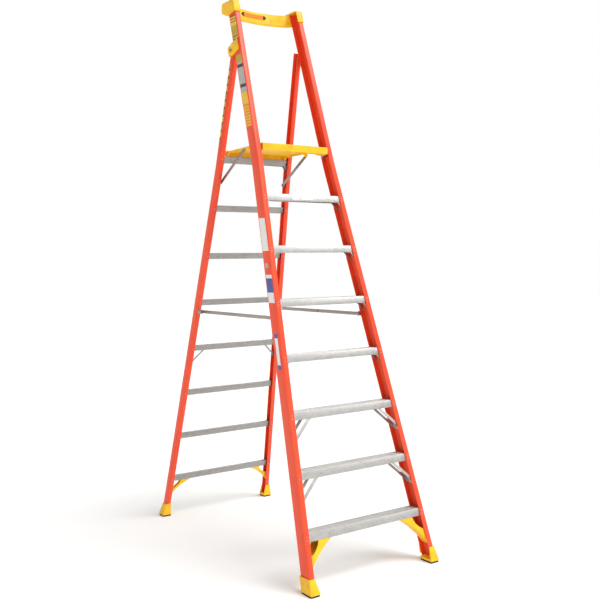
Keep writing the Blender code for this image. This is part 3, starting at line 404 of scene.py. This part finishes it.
def rivetTree():
    sockets = (("Radius", "NodeSocketFloat"), ("Height", "NodeSocketFloat"), ("Finish", "NodeSocketMaterial"))
    tree, given, out, names = newTree("rivet_heads", sockets)
    dome = addNode(tree, "GeometryNodeMeshUVSphere", {"Segments": 12, "Rings": 8, "Radius": 1.0})
    size = addNode(tree, "ShaderNodeCombineXYZ",
                   links={"X": given.outputs["Radius"], "Y": given.outputs["Radius"],
                          "Z": given.outputs["Height"]})
    way = addNode(tree, "GeometryNodeInputNamedAttribute", {"Name": "facing"}, data_type="FLOAT_VECTOR")
    turn = addNode(tree, "FunctionNodeAlignRotationToVector", links={"Vector": way.outputs["Attribute"]},
                   axis="Z")
    heads = addNode(tree, "GeometryNodeInstanceOnPoints",
                    links={"Points": given.outputs["Geometry"], "Instance": dome.outputs["Mesh"],
                           "Rotation": turn.outputs["Rotation"], "Scale": size.outputs["Vector"]})
    real = addNode(tree, "GeometryNodeRealizeInstances", links={"Geometry": heads.outputs["Instances"]})
    smooth = addNode(tree, "GeometryNodeSetShadeSmooth", links={"Geometry": real.outputs["Geometry"]})
    done = addNode(tree, "GeometryNodeSetMaterial",
                   links={"Geometry": smooth.outputs["Geometry"], "Material": given.outputs["Finish"]})
    tree.links.new(done.outputs["Geometry"], out.inputs["Geometry"])
    return tree, names


def ribTree():
    sockets = (("Rib Count", "NodeSocketInt"), ("Spacing", "NodeSocketFloat"),
               ("Rib Radius", "NodeSocketFloat"), ("Finish", "NodeSocketMaterial"))
    tree, given, out, names = newTree("tread_ribs", sockets)
    line = addNode(tree, "GeometryNodeMeshToCurve", links={"Mesh": given.outputs["Geometry"]})
    ring = addNode(tree, "GeometryNodeCurvePrimitiveCircle", {"Resolution": 8},
                   {"Radius": given.outputs["Rib Radius"]})
    bead = addNode(tree, "GeometryNodeCurveToMesh", {"Fill Caps": True},
                   {"Curve": line.outputs["Curve"], "Profile Curve": ring.outputs["Curve"]})
    pace = addNode(tree, "ShaderNodeCombineXYZ", links={"Y": given.outputs["Spacing"]})
    row = addNode(tree, "GeometryNodeMeshLine",
                  links={"Count": given.outputs["Rib Count"], "Offset": pace.outputs["Vector"]})
    ribs = addNode(tree, "GeometryNodeInstanceOnPoints",
                   links={"Points": row.outputs["Mesh"], "Instance": bead.outputs["Mesh"]})
    real = addNode(tree, "GeometryNodeRealizeInstances", links={"Geometry": ribs.outputs["Instances"]})
    smooth = addNode(tree, "GeometryNodeSetShadeSmooth", links={"Geometry": real.outputs["Geometry"]})
    done = addNode(tree, "GeometryNodeSetMaterial",
                   links={"Geometry": smooth.outputs["Geometry"], "Material": given.outputs["Finish"]})
    tree.links.new(done.outputs["Geometry"], out.inputs["Geometry"])
    return tree, names


rivetHeads, rivetInputs = rivetTree()
treadRibs, ribInputs = ribTree()

# Ribs on what shoes stand on. A tread is level, so its ribs follow each other straight back.
ribs = {"step": {"count": 9, "spacing": 0.0066, "radius": 0.0010, "margin": 0.004},
        "rung": {"count": 4, "spacing": 0.0062, "radius": 0.0008, "margin": 0.004},
        "platform": {"count": 21, "spacing": 0.0150, "radius": 0.0016, "margin": 0.010}}


def ribRows(name, treads, size, body, material):
    mesh = bpy.data.meshes.new(name + "_lines")
    points = []
    for node in treads:
        low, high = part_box(node)
        start = (low.y + high.y - (size["count"] - 1) * size["spacing"]) / 2
        middle, _ = surfacePoint(node, (0, start, high.z + 0.05), (0, 0, -1))
        # the narrower end of the tread sets the ribs' length
        last = start + (size["count"] - 1) * size["spacing"]
        half = min(reachOf(node, start, middle.z), reachOf(node, last, middle.z)) - size["margin"]
        points += [(-half, start, middle.z), (half, start, middle.z)]
    mesh.from_pydata(points, [(i, i + 1) for i in range(0, len(points), 2)], [])
    made = grown(name, mesh, treadRibs, ribInputs,
                 {"Rib Count": size["count"], "Spacing": size["spacing"], "Rib Radius": size["radius"],
                  "Finish": material})
    finishPiece(made, body)


def reachOf(node, y, height):
    # how far to each side the node's top reaches at a depth
    point, _ = surfacePoint(node, (1, y, height - 0.001), (-1, 0, 0))
    return point.x


steps = [f"step_{n}" for n in range(1, 8)]
rungs = [f"rear_rung_{n}" for n in range(1, 8)]
ribRows("step_ribs", steps, ribs["step"], "front_frame", aluminium)
ribRows("rung_ribs", rungs, ribs["rung"], "rear_frame", aluminium)
ribRows("platform_ribs", ["platform"], ribs["platform"], "platform", yellow)
print("treads ribbed")

# Rivets, one mesh for each body, each head set on the surface that it holds.
rivets = {"radius": 0.0040, "height": 0.0018, "drops": (0.012, 0.030), "stepInset": 0.016, "rungInset": 0.015}
rivetSpots = {}


def rivetAt(body, node, start, direction):
    point, normal = surfacePoint(node, start, direction)
    rivetSpots.setdefault(body, []).append((point, normal))


def frontSpot(x, depth, along):
    return frontAxes @ Vector((x, depth, along))


def rearSpot(x, depth, along):
    return rearAxes @ Vector((x, depth, along))


intoFront = turned(frontAxes, (0, 1, 0))
intoRear = turned(rearAxes, (0, 1, 0))


def railEdge(node, spot):
    # the outer edge of a rail at the height of a spot
    side = 1 if spot.x > 0 else -1
    point, _ = surfacePoint(node, (side, spot.y, spot.z), (-side, 0, 0))
    return abs(point.x)


def flangeRivets(side, node, body, place, into, depths, along, inset):
    for depth in depths:
        spot = place(side * (railEdge(node, place(side, 0.015, along)) - inset), depth, along)
        rivetAt(body, node, spot, into if depth < 0 else -into)


treads = {"pitch": 0.3048, "firstHeight": 0.2864}  # the pitch is measured along the rails
firstStep = treads["firstHeight"] / math.cos(stance["frontLean"])
for label, side in sides.items():
    for number in range(7):
        for drop in rivets["drops"]:
            flangeRivets(side, f"front_rail_{label}", "front_frame", frontSpot, intoFront,
                         (-0.05, 0.13), firstStep + number * treads["pitch"] - drop, rivets["stepInset"])
    for number in range(1, 9):
        low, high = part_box(f"rear_rung_{number}")
        along = ((low.z + high.z) / 2 - stance["hinge"].z) / math.cos(stance["rearLean"])
        flangeRivets(side, f"rear_rail_{label}", "rear_frame", rearSpot, intoRear,
                     (-0.06, 0.08), along, rivets["rungInset"])


def rivetAcross(node, side, depth, height):
    # on the outer face of a small piece, at shares of its depth and height
    low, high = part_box(node)
    start = (side, low.y + (high.y - low.y) * depth, low.z + (high.z - low.z) * height)
    rivetAt(nodes[node]["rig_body"], node, start, (-side, 0, 0))


for label, side in sides.items():
    for depth, height in ((0.30, 0.62), (0.62, 0.62)):
        rivetAcross(f"boot_front_{label}", side, depth, height)
    rivetAcross(f"boot_rear_{label}", side, 0.45, 0.62)
    for depth, height in ((0.58, 0.80), (0.86, 0.62)):
        rivetAcross(f"pivot_bracket_{label}", side, depth, height)
    for end in ("front", "rear"):
        for depth in (0.022, 0.978):
            raised = (depth < 0.5) == (end == "front")
            rivetAcross(f"spreader_{end}_{label}", side, depth, 0.72 if raised else 0.30)
    # where the braces meet the fronts of the lowest steps
    for number in (1, 2, 3):
        low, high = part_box(f"step_{number}")
        for share in (0.60, 0.86):
            start = (side * high.x * share, -2, (low.z + high.z) / 2)
            rivetAt("front_frame", f"step_{number}", start, (0, 1, 0))


def rivetMesh(name, spots):
    mesh = bpy.data.meshes.new(name + "_spots")
    mesh.from_pydata([spot for spot, _ in spots], [], [])
    way = mesh.attributes.new("facing", "FLOAT_VECTOR", "POINT")
    way.data.foreach_set("vector", [value for _, normal in spots for value in normal])
    return mesh


for body, spots in rivetSpots.items():
    name = "rivets_" + body
    made = grown(name, rivetMesh(name, spots), rivetHeads, rivetInputs,
                 {"Radius": rivets["radius"], "Height": rivets["height"], "Finish": rivetMetal})
    finishPiece(made, body)
print("rivets set:", sum(len(spots) for spots in rivetSpots.values()))

# Short straps under the ends of the upper steps and the last rung.
gussets = {"reach": 0.052, "drop": 0.052, "width": 0.017, "slant": 1.4, "thickness": 0.002, "tuck": 0.012,
           "railGap": 0.0005, "edge": 0.0004, "frontWall": 0.0048, "rearWall": 0.0043,
           "belowStep": 0.040, "belowRung": 0.0367}


def strapMesh(name, corners, thickness, material):
    # corners of one face, and how far the strap goes behind it
    shape = bmesh.new()
    face = shape.faces.new([shape.verts.new(corner) for corner in corners])
    back = bmesh.ops.extrude_face_region(shape, geom=[face])["geom"]
    bmesh.ops.translate(shape, vec=thickness, verts=[v for v in back if isinstance(v, bmesh.types.BMVert)])
    bmesh.ops.recalc_face_normals(shape, faces=shape.faces)
    mesh = bpy.data.meshes.new(name)
    shape.to_mesh(mesh)
    shape.free()
    mesh.materials.append(material)
    made = addObject(name, mesh)
    bevel = made.modifiers.new("rounded edges", "BEVEL")
    bevel.width = gussets["edge"]
    bevel.segments = 1
    return made


def gusset(name, body, place, into, side, depth, base, slope, webAt):
    size = gussets

    def corner(inwards, up):
        along = base + up + depth * slope
        return place(side * (webAt(along) - inwards), depth, along)

    end = size["width"] * size["slant"]
    corners = [corner(size["reach"], size["tuck"]), corner(size["railGap"], -size["drop"]),
               corner(size["railGap"], -size["drop"] + end), corner(size["reach"] - end, size["tuck"])]
    made = strapMesh(name, corners, into * size["thickness"], aluminium)
    finishPiece(made, body)


def innerWeb(node, place, side, wall):
    return lambda along: railEdge(node, place(side, 0.02, along)) - wall


for label, side in sides.items():
    for number in (4, 5, 6, 7):
        base = firstStep + (number - 1) * treads["pitch"] - gussets["belowStep"]
        web = innerWeb(f"front_rail_{label}", frontSpot, side, gussets["frontWall"])
        for where, depth in (("front", 0.0076), ("back", 0.0654)):
            gusset(f"step_gusset_{number}_{where}_{label}", "front_frame", frontSpot, intoFront,
                   side, depth, base, math.tan(stance["frontLean"]), web)
    low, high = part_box("rear_rung_8")
    base = (high.z - gussets["belowRung"] - stance["hinge"].z) / math.cos(stance["rearLean"])
    web = innerWeb(f"rear_rail_{label}", rearSpot, side, gussets["rearWall"])
    for where, depth in (("front", -0.0065), ("back", 0.0130)):
        gusset(f"rung_gusset_{where}_{label}", "rear_frame", rearSpot, intoRear, side, depth, base,
               -math.tan(stance["rearLean"]), web)
print("gussets made")

# Blank stickers on the outer webs of the left rails, each a row of plain bands from its top down.
stickers = {"lift": 0.0003, "film": 0.0002}


def sticker(name, node, body, place, slope, depths, top, bands, side=-1):
    # bands: (length in metres, vinyl)
    shape = bmesh.new()
    used = []
    along = top
    for length, kind in bands:
        if kind is not None:
            if kind not in used:
                used.append(kind)
            corners = []
            for depth, at in ((depths[0], along), (depths[1], along), (depths[1], along - length),
                              (depths[0], along - length)):
                spot = place(0, depth, at + depth * slope)
                point, normal = surfacePoint(node, (side, spot.y, spot.z), (-side, 0, 0))
                corners.append(shape.verts.new(point + normal * stickers["lift"]))
            face = shape.faces.new(corners)
            face.material_index = used.index(kind)
        along -= length
    bmesh.ops.remove_doubles(shape, verts=shape.verts, dist=0.00001)
    bmesh.ops.recalc_face_normals(shape, faces=shape.faces)
    for face in shape.faces:
        if face.normal.x * side < 0:
            face.normal_flip()
    mesh = bpy.data.meshes.new(name)
    shape.to_mesh(mesh)
    shape.free()
    for kind in used:
        mesh.materials.append(vinyl[kind])
    made = addObject(name, mesh)
    thick = made.modifiers.new("film", "SOLIDIFY")
    thick.thickness = stickers["film"]
    thick.offset = 1.0
    finishPiece(made, body)


def railSticker(name, top, bands, depths=(0.008, 0.067)):
    slope = math.tan(stance["frontLean"])
    sticker(name, "front_rail_left", "front_frame", frontSpot, slope, depths, top, bands)


railSticker("sticker_top", 3.236,
            [(0.008, "brown"), (0.011, "yellow"), (0.006, "brown"), (0.011, "yellow"), (0.006, "brown"),
             (0.024, "yellow"), (0.064, "olive"), (0.007, "brown"), (0.008, "yellow"), (0.010, "brown")])
railSticker("sticker_plate", 2.985,
            [(0.049, "olive"), (0.012, "silver"), (0.020, "black"), (0.105, "silver"), (0.020, "black"),
             (0.033, "silver"), (0.074, "yellow")])
railSticker("sticker_stripes", 2.670, [(0.0115, "amber"), (0.0075, "yellow")] * 7)
railSticker("sticker_white", 1.984, [(0.190, "white")])
railSticker("sticker_small", 1.724, [(0.028, "silver")], (0.030, 0.058))
railSticker("sticker_blue", 1.658, [(0.020, "white"), (0.080, "blue"), (0.058, "white")])
railSticker("sticker_long", 1.330, [(0.024, "blue"), (0.146, "white"), (0.024, "blue")], (0.024, 0.052))
sticker("sticker_rear", "rear_rail_left", "rear_frame", rearSpot, -math.tan(stance["rearLean"]),
        (0.005, 0.019), -0.069, [(0.030, "olive"), (0.012, "brown"), (0.030, "yellow"), (0.018, "brown")] * 5)


def patch(name, node, body, corners, direction, kind):
    # one plain band laid on a surface, by lines from its corners
    shape = bmesh.new()
    laid = []
    for corner in corners:
        point, normal = surfacePoint(node, corner, direction)
        laid.append(shape.verts.new(point + normal * stickers["lift"]))
    face = shape.faces.new(laid)
    bmesh.ops.recalc_face_normals(shape, faces=shape.faces)
    if face.normal.dot(Vector(direction)) > 0:
        face.normal_flip()
    mesh = bpy.data.meshes.new(name)
    shape.to_mesh(mesh)
    shape.free()
    mesh.materials.append(vinyl[kind])
    made = addObject(name, mesh)
    thick = made.modifiers.new("film", "SOLIDIFY")
    thick.thickness = stickers["film"]
    thick.offset = 1.0
    finishPiece(made, body)


stepStickers = {"below": 0.008, "height": 0.021, "spans": ((-0.085, -0.030), (-0.022, 0.060))}
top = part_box("step_7")[1].z - stepStickers["below"]
bottom = top - stepStickers["height"]
for number, (start, end) in enumerate(stepStickers["spans"], 1):
    corners = [(x, -2, z) for x, z in ((start, bottom), (end, bottom), (end, top), (start, top))]
    patch(f"sticker_step_{number}", "step_7", "front_frame", corners, (0, 1, 0), "white")

# A blank plate let into the guard rail's bar: a long lozenge with dark ends, which follows the bow.
plate = {"from": -0.118, "to": 0.062, "below": 0.038, "height": 0.024, "columns": 36, "tip": 0.020,
         "darkColumns": 4, "thickness": 0.0012}


def guardPlate():
    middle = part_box("guard_rail")[1].z - plate["below"]
    shape = bmesh.new()
    rows = []
    for i in range(plate["columns"] + 1):
        x = plate["from"] + (plate["to"] - plate["from"]) * i / plate["columns"]
        fromEnd = min(x - plate["from"], plate["to"] - x)
        share = math.sqrt(max(0.03, 1 - (1 - min(1, fromEnd / plate["tip"])) ** 2))
        pair = []
        for up in (-0.5, 0.5):
            start = (x, -2, middle + up * share * plate["height"])
            point, normal = surfacePoint("guard_rail", start, (0, 1, 0))
            pair.append(shape.verts.new(point + normal * stickers["lift"]))
        rows.append(pair)
    for i in range(plate["columns"]):
        face = shape.faces.new((rows[i][0], rows[i + 1][0], rows[i + 1][1], rows[i][1]))
        darkEnd = i < plate["darkColumns"] or i >= plate["columns"] - plate["darkColumns"]
        face.material_index = 1 if darkEnd else 0
    for face in shape.faces:
        face.normal_update()
        if face.normal.y > 0:
            face.normal_flip()
    mesh = bpy.data.meshes.new("guard_plate")
    shape.to_mesh(mesh)
    shape.free()
    mesh.materials.append(vinyl["amber"])
    mesh.materials.append(vinyl["black"])
    made = addObject("guard_plate", mesh)
    thick = made.modifiers.new("plate", "SOLIDIFY")
    thick.thickness = plate["thickness"]
    thick.offset = 1.0
    finishPiece(made, "front_frame")


guardPlate()
print("stickers laid")

# Floor, light and camera.
studio = {"low": 1.00, "high": 0.56, "backdrop": 1.0, "keyPower": 2.6, "keyBreadth": 40, "keyHeight": 55,
          "keyTurn": 30, "frontSize": 3.5, "frontPower": 4.0, "frontPlace": (0.8, -5.5, 2.4),
          "frontTarget": (0, 0, 1.6), "floorReach": 30}


def studioFloor():
    mesh = bpy.data.meshes.new("studio_floor")
    reach = studio["floorReach"]
    mesh.from_pydata([(-reach, -reach, 0), (reach, -reach, 0), (reach, reach, 0), (-reach, reach, 0)], [],
                     [(0, 1, 2, 3)])
    made, _, shader, _ = blankMaterial("pale_floor", 0.0, 0.9)
    shader.inputs["Base Color"].default_value = srgb("f7f7f5")
    mesh.materials.append(made)
    floor = addObject("studio_floor", mesh)


def areaLight(name, location, target, size, power):
    data = bpy.data.lights.new(name, "AREA")
    data.shape = "DISK"
    data.size = size
    data.energy = power
    lamp = bpy.data.objects.new(name, data)
    bpy.context.scene.collection.objects.link(lamp)
    lamp.location = location
    lamp.rotation_euler = (Vector(target) - Vector(location)).to_track_quat("-Z", "Y").to_euler()


studioFloor()
data = bpy.data.lights.new("key", "SUN")
data.energy = studio["keyPower"]
data.angle = math.radians(studio["keyBreadth"])
key = bpy.data.objects.new("key", data)
bpy.context.scene.collection.objects.link(key)
key.rotation_euler = (math.radians(90 - studio["keyHeight"]), 0, math.radians(studio["keyTurn"]))
areaLight("front", studio["frontPlace"], studio["frontTarget"], studio["frontSize"], studio["frontPower"])
world = bpy.data.worlds.new("studio")
bpy.context.scene.world = world
world.use_nodes = True
sky = world.node_tree
sky.nodes["Background"].inputs["Color"].default_value = (1, 1, 1, 1)
around = addNode(sky, "ShaderNodeTexCoord").outputs["Generated"]
height = addNode(sky, "ShaderNodeSeparateXYZ", links={0: around}).outputs["Z"]
glow = addNode(sky, "ShaderNodeMapRange",
               {"From Min": -0.05, "From Max": 0.35, "To Min": studio["low"], "To Max": studio["high"]},
               {"Value": height})
sky.links.new(glow.outputs["Result"], sky.nodes["Background"].inputs["Strength"])
backdrop = addNode(sky, "ShaderNodeBackground", {"Color": (1, 1, 1, 1), "Strength": studio["backdrop"]})
seen = addNode(sky, "ShaderNodeLightPath")
shown = addNode(sky, "ShaderNodeMixShader",
                links={0: seen.outputs["Is Camera Ray"], 1: sky.nodes["Background"].outputs[0],
                       2: backdrop.outputs[0]})
sky.links.new(shown.outputs[0], sky.nodes["World Output"].inputs["Surface"])
bpy.context.scene.view_settings.view_transform = "Standard"

cameraPlace = {"location": (-2.7478, -4.191, 1.633), "turn": 34.5511, "tilt": -2.3207, "roll": -0.96767,
               "lens": 50.265}
turn, tilt, roll = (math.radians(cameraPlace[name]) for name in ("turn", "tilt", "roll"))
ahead = Vector((math.sin(turn) * math.cos(tilt), math.cos(turn) * math.cos(tilt), math.sin(tilt)))
level = Vector((math.cos(turn), -math.sin(turn), 0))
upward = level.cross(ahead)
across = level * math.cos(roll) + upward * math.sin(roll)
upright = upward * math.cos(roll) - level * math.sin(roll)
lens = bpy.data.cameras.new("camera")
lens.lens = cameraPlace["lens"]
lens.sensor_width = 36
camera = bpy.data.objects.new("camera", lens)
bpy.context.scene.collection.objects.link(camera)
camera.matrix_world = Matrix.Translation(cameraPlace["location"]) @ Matrix(
    (across, upright, -ahead)).transposed().to_4x4()
bpy.context.scene.camera = camera
print("camera, floor and lights set")
